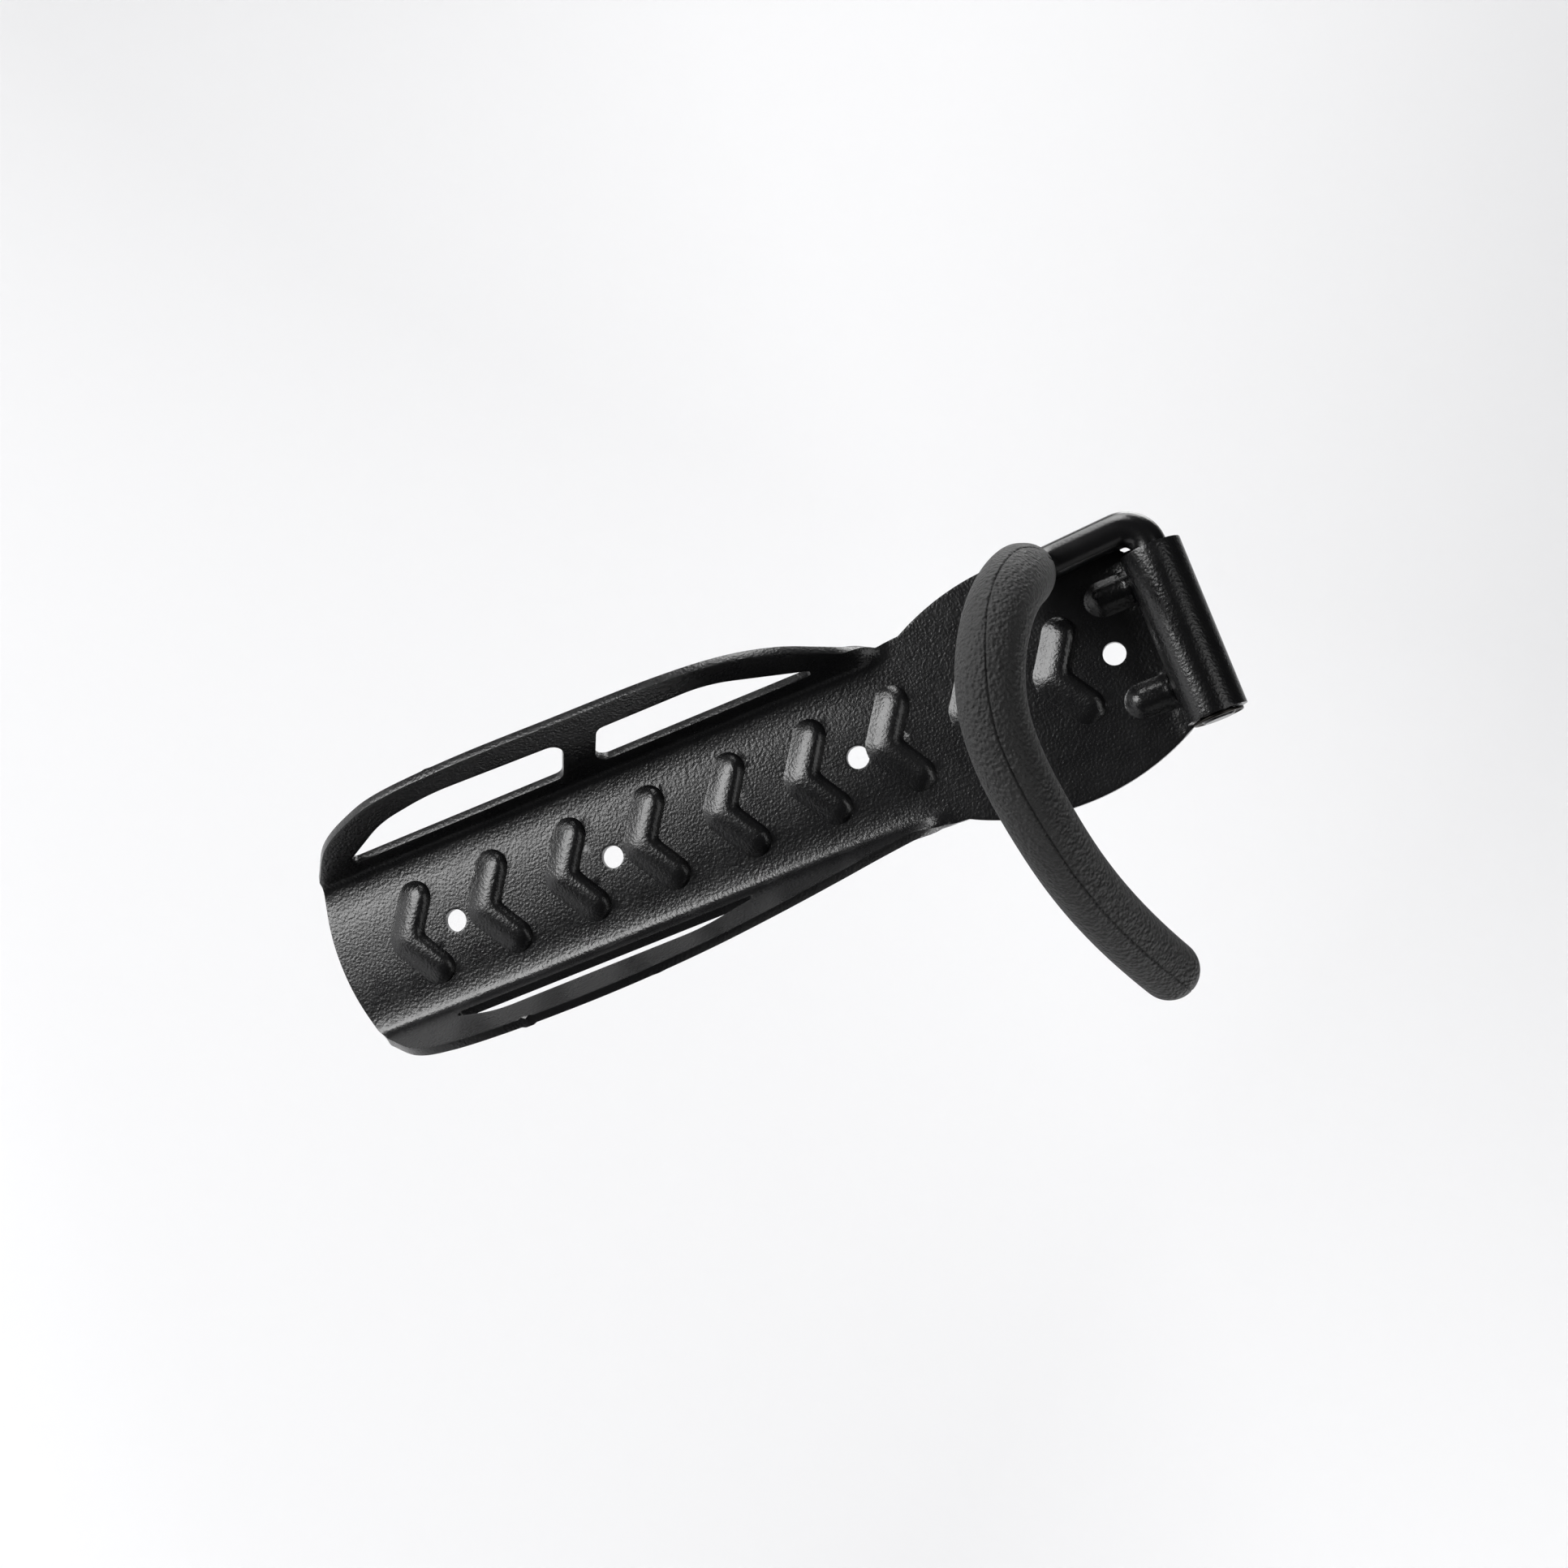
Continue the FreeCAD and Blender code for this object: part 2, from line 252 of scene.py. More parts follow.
# slot corners, each with its rounding
UPPER_SLOT = [(6.0, 26.7, 1.2), (20.5, -4.7, 35.0), (20.6, -38.8, 3.5), (6.1, -45.8, 3.0)]
LOWER_SLOT = [(6.1, -56.0, 3.0), (21.1, -48.9, 3.5), (22.8, -91.3, 60.0), (19.3, -108.6, 30.0),
              (6.2, -127.9, 1.5)]
LONG_SLOT = [(4.7, -11.4, 1.2), (13.6, -31.4, 30.0), (14.2, -96.3, 25.0), (5.2, -114.9, 1.5)]
RIM_STEPS, HEAD_STEPS, END_STEPS, HOLE_STEPS = 10, 40, 24, 40
CHEVRONS = 9
CHEVRON_PITCH, CHEVRON_FIRST_Z = 25.4, -113.7
CHEVRON_HALF, CHEVRON_SLOPE, KNEE_ROUND = 14.6, math.radians(33), 1.0
RIB_X, RIB_FOOT_Z, RIB_TOP_Z, RIB_HALF = 15.4, 105.4, 116.2, 5.2
RIB_END = 0.3                                    # the ribs' outlines run on under the roll by this much
# contours round each stamping, as shares of its half width; the outermost lies on the flat sheet
STAMP_LEVELS = [1.07, 1.0, 0.96, 0.91, 0.86, 0.8, 0.73, 0.63, 0.5, 0.33, 0.16, 0.0]
SIDE_STEP, RIM_INSET, HOLE_INSET, FREE_GAP = 2.0, 1.0, 0.8, 0.5   # spacing of the blank's mesh points


def screw_holes():
    """Centre height and radius of each hole, from the two screw patterns."""
    holes = []
    for name in ("outer_screws", "inner_screws"):
        mount = MOUNTS[name]
        middle, half = mount["pos_m"][2] / MM, mount["dims"]["spacing_y_mm"] / 2
        holes += [(middle - half, mount["dims"]["hole_r_mm"]), (middle + half, mount["dims"]["hole_r_mm"])]
    return holes


class Blank:
    """The flat blank and how it is formed: roll at the top, two bends, stamped chevrons and ribs."""

    def __init__(self, plate):
        self.sheet = plate.sheet / MM
        self.flare = plate.flare
        self.mid_bend = plate.bend_radius / MM + self.sheet / 2
        self.floor = plate.floor_half / MM
        self.roll_r = -HINGE.y - self.sheet / 2
        lip = math.acos(1 - (self.sheet + ROLL_GAP) / -HINGE.y)
        self.roll_length = self.roll_r * (2 * math.pi - lip)
        self.rise = plate.chevron_rise / MM
        self.half = plate.chevron_width / MM / 2
        self.rib_rise = plate.rib_rise / MM
        # distance along the blank from the middle to the sharp fold line
        self.fold = self.floor + self.mid_bend * self.flare - self.mid_bend * math.tan(self.flare / 2)

    def outline(self):
        """Edge of the blank, anticlockwise from the left end of the tray."""
        right_side = [(self.fold + s, z) for s, z in smooth_curve(RIGHT_RIM, RIM_STEPS)][::-1]
        left_side = [(-self.fold - s, z) for s, z in smooth_curve(LEFT_RIM, RIM_STEPS)]
        head = arc_through((NECK_HALF, NECK_TOP_Z), (HEAD_HALF, HEAD_MID_Z), HEAD_CORNER, HEAD_STEPS)
        roll_end = HINGE.z + self.roll_length
        end = arc_through(*TRAY_END, END_STEPS)
        right = right_side + head + [(TAB_X[1], TAB_SHOULDER_Z), (BARREL_X[1], roll_end)]
        left = [(BARREL_X[0], roll_end), (BARREL_X[0], HINGE.z - 2), (TAB_X[0], HINGE.z - 5),
                (TAB_X[0], HEAD_CORNER[1] + 0.8), (TAB_X[0] - 0.8, HEAD_CORNER[1])]
        return end + right + left + [(-x, z) for x, z in head[::-1]] + left_side

    def cutouts(self):
        """Outlines of the three slots and of the four screw holes."""
        slots = [[(-self.fold - s, z) for s, z in rounded(c, 1.0)] for c in (UPPER_SLOT, LOWER_SLOT)]
        slots.append([(self.fold + s, z) for s, z in rounded(LONG_SLOT, 1.0)])
        turns = [2 * math.pi * i / HOLE_STEPS for i in range(HOLE_STEPS)]
        holes = [[(r * math.cos(t), z + r * math.sin(t)) for t in turns] for z, r in screw_holes()]
        return slots, holes

    def chevron_axis(self, z):
        """Ends and knee of a chevron's centre line; z is its upper apex."""
        drop = self.half / math.cos(CHEVRON_SLOPE)
        reach = CHEVRON_HALF - self.half
        knee = Vector((0, z - drop))
        rise = reach * math.tan(CHEVRON_SLOPE)
        return [knee + Vector((side * reach, rise)) for side in (-1, 1)], knee

    def chevron_contour(self, z, distance):
        """Outline at one distance from the chevron's centre line, and whether it is closed."""
        (left, right), knee = self.chevron_axis(z)

        def round_knee(line):
            return [(math.copysign(math.sqrt(abs(x) * (abs(x) + 2 * KNEE_ROUND)), x), y) for x, y in line]
        if distance == 0:
            axis = [tuple(left), tuple(knee), tuple(right)]
            return round_knee(spaced(axis, 1.0, closed=False)), False
        slope, points = CHEVRON_SLOPE, []

        def arc(centre, start, end, steps):
            for i in range(steps + 1):
                t = start + (end - start) * i / steps
                points.append((centre.x + distance * math.cos(t), centre.y + distance * math.sin(t)))
        arc(knee, 1.5 * math.pi - slope, 1.5 * math.pi + slope, 6)
        arc(right, slope - math.pi / 2, slope + math.pi / 2, 14)
        points.append((0, knee.y + distance / math.cos(slope)))
        arc(left, math.pi / 2 - slope, 1.5 * math.pi - slope, 14)
        return round_knee(spaced(points, 1.2)), True

    def emboss(self, u, z):
        """Height of the stamping above the flat sheet."""
        here, height = Vector((u, z)), 0.0
        index = round((z - CHEVRON_FIRST_Z) / CHEVRON_PITCH)
        for i in (index - 1, index, index + 1):
            if 0 <= i < CHEVRONS and abs(u) < CHEVRON_HALF + 1:
                ends, knee = self.chevron_axis(CHEVRON_FIRST_Z + i * CHEVRON_PITCH)
                run = ends[1] - knee
                place = Vector((math.hypot(u, KNEE_ROUND) - KNEE_ROUND, z))
                near = distance_to_run(place, knee, ends[1])
                above = (place - knee).dot(Vector((-run.y, run.x))) / run.length
                upper = 0.5 + 0.5 * min(max(above / near, -1.0), 1.0) if near > 1e-6 else 0.5
                t = near / self.half
                section = upper * steep_side(t) + (1 - upper) * gentle_side(t)
                height = max(height, self.rise * section)
        for x in (-RIB_X, RIB_X):
            near = distance_to_run(here, Vector((x, RIB_FOOT_Z)), Vector((x, RIB_TOP_Z)))
            # the rib sinks almost to the sheet where the roll begins
            under_roll = 1 - 0.93 * smoothstep((z - RIB_TOP_Z + 2.8) / 2.6)
            section = smoothstep((1 - near / RIB_HALF) / 0.85)
            height = max(height, self.rib_rise * under_roll * section)
        step = smoothstep((z - STEP_Z) / STEP_IN) * (1 - smoothstep((z - STEP_Z - STEP_FLAT) / STEP_OUT))
        return height + STEP_RISE * step

    def form(self, u, z):
        """Place of a point of the blank's middle surface after stamping, bending and rolling."""
        middle = -self.sheet / 2
        if z > HINGE.z:
            turn = (z - HINGE.z) / self.roll_r
            return Vector((u, HINGE.y + self.roll_r * math.cos(turn),
                           HINGE.z + self.roll_r * math.sin(turn)))
        angle = self.flare * smoothstep((BEND_TOP_Z - z) / BEND_FADE)
        share = min(max((abs(u) - DISH_START) / (self.floor - DISH_START), 0.0), 1.0)
        dish = DISH_ANGLE * angle / self.flare
        crown = CROWN_RISE * max(0.0, 1 - (abs(u) / CROWN_HALF) ** 3) ** 2 * angle / self.flare
        lift = dish * (self.floor - DISH_START) * share ** 3 / 3 + crown
        along = abs(u) - self.floor
        if along <= 0 or angle < 1e-6:
            return Vector((u, middle - lift - self.emboss(u, z), z))
        turn = min(along / self.mid_bend, angle - dish)
        straight = max(0.0, along - self.mid_bend * (angle - dish))
        x = (self.floor + self.mid_bend * (math.sin(dish + turn) - math.sin(dish))
             + straight * math.cos(angle))
        y = (middle - lift - self.mid_bend * (math.cos(dish) - math.cos(dish + turn))
             - straight * math.sin(angle))
        return Vector((math.copysign(x, u), y, z))


def ridge(t):
    """Section of a steep wall: round top (t = 0), straight side and a small fillet at the foot (t = 1)."""
    if t >= 1:
        return 0.0
    return 1 - 0.7 * (t / 0.8) ** 3 if t < 0.8 else 0.3 * ((1 - t) / 0.2) ** 1.75


def steep_side(t):
    """Section of a chevron above its centre line: a crest, then a steep wall to the foot (t = 1)."""
    if t < 0.45:
        q = t / 0.45
        return 0.84 + 0.27 * q - 0.06 * q ** 2 - 0.05 * q ** 3
    return ridge((t - 0.45) / 0.55)


def gentle_side(t):
    """Section of a chevron below its centre line: a broad slope that runs out into the floor."""
    return max(0.0, 0.84 - 0.6 * t - 0.66 * t ** 2 + 0.42 * t ** 3) if t < 1 else 0.0


def distance_to_run(point, a, b):
    """Distance from a point to the straight run between a and b."""
    run = b - a
    t = min(max((point - a).dot(run) / run.length_squared, 0.0), 1.0)
    return (point - a - run * t).length


def inside(outline, points):
    """Which points lie inside a closed outline."""
    x, y = points[:, 0], points[:, 1]
    result = np.zeros(len(points), bool)
    for (ax, ay), (bx, by) in zip(outline, outline[1:] + outline[:1]):
        if ay != by:
            result ^= ((ay > y) != (by > y)) & (x < (bx - ax) * (y - ay) / (by - ay) + ax)
    return result


def offset_outline(outline, distance):
    """Points a little inside an anticlockwise outline."""
    result = []
    for i, here in enumerate(outline):
        run = Vector(outline[(i + 1) % len(outline)]) - Vector(outline[i - 1])
        if run.length > 1e-6:
            x, y = -run.y / run.length * distance, run.x / run.length * distance
            result.append((here[0] + x, here[1] + y))
    return result


def blank_mesh(blank):
    """Triangulates the blank along its outline, slots, holes, stampings, bends and roll."""
    outline = spaced(blank.outline(), SIDE_STEP)
    slots, holes = blank.cutouts()
    slots = [spaced(slot, SIDE_STEP) for slot in slots]
    loops = [(outline, True)] + [(loop, True) for loop in slots + holes]
    for i in range(CHEVRONS):
        z = CHEVRON_FIRST_Z + i * CHEVRON_PITCH
        loops += [blank.chevron_contour(z, blank.half * level) for level in STAMP_LEVELS]
    for x in (-RIB_X, RIB_X):
        for level in STAMP_LEVELS:
            r = RIB_HALF * level
            arc = [(x + r * math.cos(t), RIB_FOOT_Z + r * math.sin(t))
                   for t in np.linspace(-math.pi, 0, 17 if level else 1)]
            end_z = RIB_TOP_Z + RIB_END
            sides = [(x - r, end_z)] + arc + ([(x + r, end_z)] if level else [])
            loops.append((spaced(sides, 1.0, closed=False), False))

    # points between the outlines: along every edge, across the bends, over the flat parts, round the roll
    free = offset_outline(outline, RIM_INSET)
    for slot in slots:
        clockwise = sum(a[0] * b[1] - b[0] * a[1] for a, b in zip(slot, slot[1:] + slot[:1])) < 0
        free += offset_outline(slot, RIM_INSET if clockwise else -RIM_INSET)
    for hole in holes:
        free += offset_outline(hole, -HOLE_INSET)
    arc_length = blank.mid_bend * blank.flare
    bends = [blank.floor + arc_length * i / 9 for i in range(10)]
    for z in np.arange(PLATE_LOW.z, BEND_TOP_Z + 1, 2.5):
        free += [(side * u, z) for u in bends for side in (-1, 1)]
        free += [(side * (blank.floor + arc_length + s), z) for s in np.arange(3, 34, 3.0)
                 for side in (-1, 1)]
    for z in np.arange(PLATE_LOW.z, HEAD_CORNER[1], 3.0):
        free += [(u, z) for u in np.arange(-36, 36.1, 3.0) if abs(u) < blank.floor or z > BEND_TOP_Z]
    for z in np.arange(HEAD_CORNER[1] + 1.5, HINGE.z + blank.roll_length, 0.75):
        free += [(u, z) for u in np.linspace(BARREL_X[0], BARREL_X[1], 15)]

    points, edges = [], []
    for loop, closed in loops:
        first = len(points)
        points += loop
        edges += [(first + i, first + i + 1) for i in range(len(loop) - 1)]
        if closed:
            edges.append((len(points) - 1, first))
    stamped = np.array([p for loop, closed in loops for p in spaced(loop, 0.4, closed)])
    free = np.array(free)
    keep = inside(outline, free)
    for loop in slots + holes:
        keep &= ~inside(loop, free)
    gaps = np.sqrt(((free[:, None, :] - stamped[None, :, :]) ** 2).sum(2)).min(1)
    free = free[keep & (gaps > FREE_GAP)]
    points += [tuple(p) for p in free]
    verts, _, faces, _, _, _ = delaunay_2d_cdt([Vector(p) for p in points], edges, [], 0, 1e-5)
    centres = np.array([sum((verts[i] for i in f), Vector((0, 0))) / len(f) for f in faces])
    keep = inside(outline, centres)
    for loop in slots + holes:
        keep &= ~inside(loop, centres)
    faces = [f for f, good in zip(faces, keep) if good]
    return [blank.form(*v) for v in verts], faces


def make_plate():
    plate, _ = settings()
    blank = Blank(plate)
    points, faces = blank_mesh(blank)
    piece = mesh_object("stamped_plate", points, faces)
    tidy = bmesh.new()
    tidy.from_mesh(piece.data)
    bmesh.ops.delete(tidy, geom=[v for v in tidy.verts if not v.link_faces], context="VERTS")
    bmesh.ops.recalc_face_normals(tidy, faces=tidy.faces)
    lowest = min(tidy.faces, key=lambda f: f.calc_center_median().z)
    if lowest.normal.y > 0:                                   # the sheet's front looks into the room
        bmesh.ops.reverse_faces(tidy, faces=tidy.faces)
    tidy.to_mesh(piece.data)
    tidy.free()
    wall = piece.modifiers.new("Sheet", "SOLIDIFY")
    wall.thickness, wall.offset, wall.use_even_offset = plate.sheet, 0.0, True
    edge = piece.modifiers.new("Coated edge", "BEVEL")
    edge.width, edge.segments, edge.limit_method = plate.edge_round, 3, "ANGLE"
    edge.angle_limit = math.radians(68)
    piece = bake_modifiers(piece)
    for vertex in piece.data.vertices:                        # the back lies flat on the wall
        vertex.co.y = min(vertex.co.y, 0.0)
    material = powder_coat("powder_coat_plate", rough=(0.25, 0.31), peel_depth=0.35)
    finish_piece(piece, "plate", "wall_plate", material)


# ---- hook ---------------------------------------------------------------------------------------
LEG_TOP = Vector((-30.8, HINGE.y, HINGE.z))
LEG_FOOT = Vector((-29.2, HINGE.y, 88.3))
TOP_BEND_R, FOOT_BEND_R = 6.8, 9.5
ARM_START = Vector((-17.0, -75.0, 89.3))
ARM_POLES = [(-17.0, -75.0, 89.3), (-14.7, -87.3, 89.5), (-9.6, -107.3, 84.2), (14.6, -111.9, 70.9),
             (42.8, -101.1, 73.0), (67.5, -75.5, 77.1), (86.0, -53.0, 86.5)]
ROD_END_X = 28.3
ROD_SHORT = 4.0                                  # the bar ends this far from the end of the arm
ROD_CHAMFER = 0.84                               # share of the radius left at the bar's cut ends
SLEEVE_START = 7.0                               # from the leg's foot to the open end of the sleeve
SLEEVE_LIP, DOME_STEPS, LIP_STEPS = 1.1, 14, 6
BORE_CLEARANCE = 0.04
SEAM_FINE = [-0.09, -0.06, -0.04, -0.026, -0.013, 0.0, 0.013, 0.026, 0.04, 0.06, 0.09]
RING_ROOT, RING_SHEET, RING_BITE = 6.2, 0.3, 0.02
# the moulded tube is pushed on with a twist: share of its length, and rise of its parting line in degrees
SEAM_TWIST = ([0.0, 0.26, 0.36, 0.46, 0.58, 0.75, 1.0], [85, 76, 28, 4, 0, 7, 20])


def clamped_spline(poles, steps):
    """Points on the uniform cubic spline that starts and ends at its end poles."""
    poles, degree = [Vector(p) for p in poles], 3
    spans = len(poles) - degree
    knots = [0.0] * degree + [i / spans for i in range(spans + 1)] + [1.0] * degree
    curve = []
    for i in range(steps + 1):
        t = i / steps
        k = min(degree + int(t * spans), len(poles) - 1)
        row = [poles[j + k - degree].copy() for j in range(degree + 1)]
        for level in range(1, degree + 1):
            for j in range(degree, level - 1, -1):
                low = knots[j + k - degree]
                share = (t - low) / (knots[j + 1 + k - level] - low)
                row[j] = row[j - 1].lerp(row[j], share)
        curve.append(row[degree])
    return curve


def bend(before, corner, after, radius, steps):
    """Arc that rounds the corner between two straight runs of bar."""
    a, b = (before - corner).normalized(), (after - corner).normalized()
    half = a.angle(b) / 2
    centre = corner + (a + b).normalized() * (radius / math.sin(half))
    start = corner + a * (radius / math.tan(half)) - centre
    axis = a.cross(b).normalized()
    turn = math.pi - 2 * half
    return [centre + Matrix.Rotation(-turn * i / steps, 3, axis) @ start for i in range(steps + 1)]


def thin_out(path, step):
    """Drops path points that are nearer than step to the one before, keeping both ends."""
    kept = [path[0]]
    for point in path[1:-1]:
        if (point - kept[-1]).length >= step and (point - path[-1]).length > step / 2:
            kept.append(point)
    return kept + [path[-1]]


def run(a, b, step):
    """Points on a straight run of bar, about step apart."""
    steps = max(1, round((b - a).length / step))
    return [a.lerp(b, i / steps) for i in range(steps + 1)]


def arm_path(step):
    """Middle line of the arm, from its start to its free end."""
    return thin_out(clamped_spline(ARM_POLES, 400), step)


def rod_path():
    """Middle line of the whole bar: through the barrel, down the leg and out along the arm."""
    top = bend(Vector((ROD_END_X, HINGE.y, HINGE.z)), LEG_TOP, LEG_FOOT, TOP_BEND_R, 16)
    foot = bend(LEG_TOP, LEG_FOOT, ARM_START, FOOT_BEND_R, 16)
    tip = Vector(ARM_POLES[-1])
    arm = [p for p in arm_path(1.5) if (p - tip).length > ROD_SHORT]
    return (run(Vector((ROD_END_X, HINGE.y, HINGE.z)), top[0], 3) + top[1:]
            + run(top[-1], foot[0], 3)[1:] + foot[1:] + run(foot[-1], arm[0], 3)[1:] + arm[1:])


def add_node(tree, kind, links=None, **values):
    """Adds a node, sets its properties and input values, and links its inputs."""
    node = tree.nodes.new(kind)
    for key, value in values.items():
        if hasattr(node, key):
            setattr(node, key, value)
        else:
            node.inputs[key.replace("_", " ")].default_value = value
    for key, source in (links or {}).items():
        tree.links.new(source, node.inputs[key])
    return node


def swept_bar_nodes(material):
    """Geometry nodes that sweep a round bar along a curve, thinned by each point's own radius."""
    tree = bpy.data.node_groups.new("swept_bar", "GeometryNodeTree")
    tree.interface.new_socket("Geometry", in_out="INPUT", socket_type="NodeSocketGeometry")
    radius = tree.interface.new_socket("Radius", in_out="INPUT", socket_type="NodeSocketFloat")
    sides = tree.interface.new_socket("Sides", in_out="INPUT", socket_type="NodeSocketInt")
    tree.interface.new_socket("Geometry", in_out="OUTPUT", socket_type="NodeSocketGeometry")
    start = add_node(tree, "NodeGroupInput")
    ring = add_node(tree, "GeometryNodeCurvePrimitiveCircle",
                    {"Radius": start.outputs["Radius"], "Resolution": start.outputs["Sides"]})
    scale = add_node(tree, "GeometryNodeInputRadius")
    links = {"Curve": start.outputs["Geometry"], "Profile Curve": ring.outputs["Curve"]}
    sweep = add_node(tree, "GeometryNodeCurveToMesh", links, Fill_Caps=True)
    if "Scale" in sweep.inputs:
        tree.links.new(scale.outputs[0], sweep.inputs["Scale"])
    whole = add_node(tree, "GeometryNodeRealizeInstances", {"Geometry": sweep.outputs["Mesh"]})
    skin = add_node(tree, "GeometryNodeSetMaterial", {"Geometry": whole.outputs["Geometry"]},
                    Material=material)
    add_node(tree, "NodeGroupOutput", {"Geometry": skin.outputs["Geometry"]})
    return tree, radius.identifier, sides.identifier


def make_rod():
    _, hook = settings()
    material = powder_coat("powder_coat_rod", rough=(0.22, 0.27), peel_depth=0.10)
    path = rod_path()
    first, last = path[0].lerp(path[1], 0.25), path[-1].lerp(path[-2], 0.5)
    path = [path[0], first] + path[1:-1] + [last, path[-1]]
    line = bpy.data.curves.new("hook_bar", "CURVE")
    line.dimensions = "3D"
    spline = line.splines.new("POLY")
    spline.points.add(len(path) - 1)
    for i, place in enumerate(path):
        spline.points[i].co = (*(place * MM), 1)
        spline.points[i].radius = ROD_CHAMFER if i in (0, len(path) - 1) else 1.0
    piece = bpy.data.objects.new("hook_bar", line)
    bpy.context.scene.collection.objects.link(piece)
    tree, radius_id, sides_id = swept_bar_nodes(material)
    sweep = piece.modifiers.new("Bar", "NODES")
    sweep.node_group = tree
    sweep[radius_id], sweep[sides_id] = hook.rod_radius, 48
    piece = bake_modifiers(piece)
    piece.data.polygons.foreach_set("use_smooth", [len(f.vertices) == 4 for f in piece.data.polygons])
    finish_piece(piece, "hook", "hook_rod", material)


def sleeve_section(centre, along, radius, groove, sides, twist):
    """One ring of the sleeve; its two parting lines lie twist above the level sides of the arm."""
    outward = along.cross(Vector((0, 0, 1))).normalized()
    upward = outward.cross(along).normalized()
    depth, width = groove
    ring = []
    for turn in sides:
        dip = 0.0
        for seam in (0.0, math.pi):
            away = abs((turn - seam + math.pi) % (2 * math.pi) - math.pi) * radius
            dip = max(dip, depth * math.exp(-(away / (width / 2)) ** 2))
        r = max(radius - dip, 0.0)
        angle = turn + twist
        ring.append(centre + outward * (r * math.cos(angle)) + upward * (r * math.sin(angle)))
    return ring


def seam_angles(count, fine):
    """Angles round the sleeve, closer together at the two parting lines."""
    angles = [2 * math.pi * i / count for i in range(count)]
    near = [side + step for side in (0.0, math.pi) for step in fine]
    coarse = [a for a in angles if min(abs((a - s + math.pi) % (2 * math.pi) - math.pi)
                                       for s in (0.0, math.pi)) > max(fine) * 1.3]
    return sorted(a % (2 * math.pi) for a in coarse + near)


def make_sleeve():
    _, hook = settings()
    foot_r, tip_r = hook.foot_radius / MM, hook.tip_radius / MM
    bore = hook.rod_radius / MM + BORE_CLEARANCE
    along = (ARM_START - LEG_FOOT).normalized()
    foot = LEG_FOOT + along * SLEEVE_START
    path = run(foot, ARM_START, 2.0)[:-1] + arm_path(1.1)
    travelled = [0.0]
    for a, b in zip(path, path[1:]):
        travelled.append(travelled[-1] + (b - a).length)
    whole = travelled[-1]
    depth, width = hook.seam_depth / MM, hook.seam_width / MM
    sides = seam_angles(64, SEAM_FINE)

    def heading(i):
        return (path[min(i + 1, len(path) - 1)] - path[max(i - 1, 0)]).normalized()
    tip, lip = heading(len(path) - 1), SLEEVE_LIP
    # each ring has a centre, a direction, a radius and a share of the full depth of the parting line
    inner_end = next(i for i, s in enumerate(travelled) if s > whole - ROD_SHORT)
    rings = [(path[inner_end], heading(inner_end), r, 0.0) for r in (0.02, 2.5, bore)]
    rings += [(path[i], heading(i), bore, 0.0) for i in range(inner_end - 3, 0, -3)]
    rings.append((foot + along * 0.5, along, bore, 0.0))
    rings.append((foot, along, bore + 0.5, 0.0))
    for i in range(LIP_STEPS + 1):                            # rounded lip of the foot
        t = math.pi / 2 * i / LIP_STEPS
        rings.append((foot + along * lip * (1 - math.cos(t)), along,
                      foot_r - lip + lip * math.sin(t), i / LIP_STEPS))
    for i in range(1, len(path)):
        share = travelled[i] / whole
        rings.append((path[i], heading(i), foot_r + (tip_r - foot_r) * share, 1.0))
    for i in range(1, DOME_STEPS + 1):                        # dome
        t = math.pi / 2 * i / DOME_STEPS
        rings.append((path[-1] + tip * tip_r * math.sin(t), tip, max(tip_r * math.cos(t), 0.02),
                      1 - i / DOME_STEPS))
    points, faces, count = [], [], len(sides)
    for centre, direction, radius, cut in rings:
        near = min(range(len(path)), key=lambda i: (path[i] - centre).length)
        twist = math.radians(np.interp(travelled[near] / whole, *SEAM_TWIST))
        points += sleeve_section(centre, direction, radius, (depth * cut, width), sides, twist)
    for row in range(len(rings) - 1):
        for i in range(count):
            a, b = row * count + i, row * count + (i + 1) % count
            faces.append((a, b, b + count, a + count))
    faces.append(tuple(range(count))[::-1])
    faces.append(tuple(range((len(rings) - 1) * count, len(rings) * count)))
    piece = mesh_object("moulded_sleeve", points, faces)
    even_normals(piece, merge_distance=0.00003)
    finish_piece(piece, "hook", "grip_sleeve", moulded_rubber())


def prong_ring_nodes(material):
    """Geometry nodes that repeat one sector of the ring round the bar and join the copies."""
    tree = bpy.data.node_groups.new("prong_ring", "GeometryNodeTree")
    tree.interface.new_socket("Geometry", in_out="INPUT", socket_type="NodeSocketGeometry")
    count = tree.interface.new_socket("Count", in_out="INPUT", socket_type="NodeSocketInt")
    tree.interface.new_socket("Geometry", in_out="OUTPUT", socket_type="NodeSocketGeometry")
    start = add_node(tree, "NodeGroupInput")
    line = add_node(tree, "GeometryNodeMeshLine", {"Count": start.outputs["Count"]},
                    Offset=(0.0, 0.0, 0.0))
    index = add_node(tree, "GeometryNodeInputIndex")
    share = add_node(tree, "ShaderNodeMath", {0: index.outputs[0], 1: start.outputs["Count"]},
                     operation="DIVIDE")
    turn = add_node(tree, "ShaderNodeMath", {0: share.outputs[0]}, operation="MULTIPLY")
    turn.inputs[1].default_value = 2 * math.pi
    angle = add_node(tree, "ShaderNodeCombineXYZ", {"X": turn.outputs[0]})
    copies = add_node(tree, "GeometryNodeInstanceOnPoints",
                      {"Points": line.outputs["Mesh"], "Instance": start.outputs["Geometry"],
                       "Rotation": angle.outputs["Vector"]})
    whole = add_node(tree, "GeometryNodeRealizeInstances", {"Geometry": copies.outputs["Instances"]})
    joined = add_node(tree, "GeometryNodeMergeByDistance", {"Geometry": whole.outputs["Geometry"]},
                      Distance=2e-6)
    skin = add_node(tree, "GeometryNodeSetMaterial", {"Geometry": joined.outputs["Geometry"]},
                    Material=material)
    add_node(tree, "NodeGroupOutput", {"Geometry": skin.outputs["Geometry"]})
    return tree, count.identifier


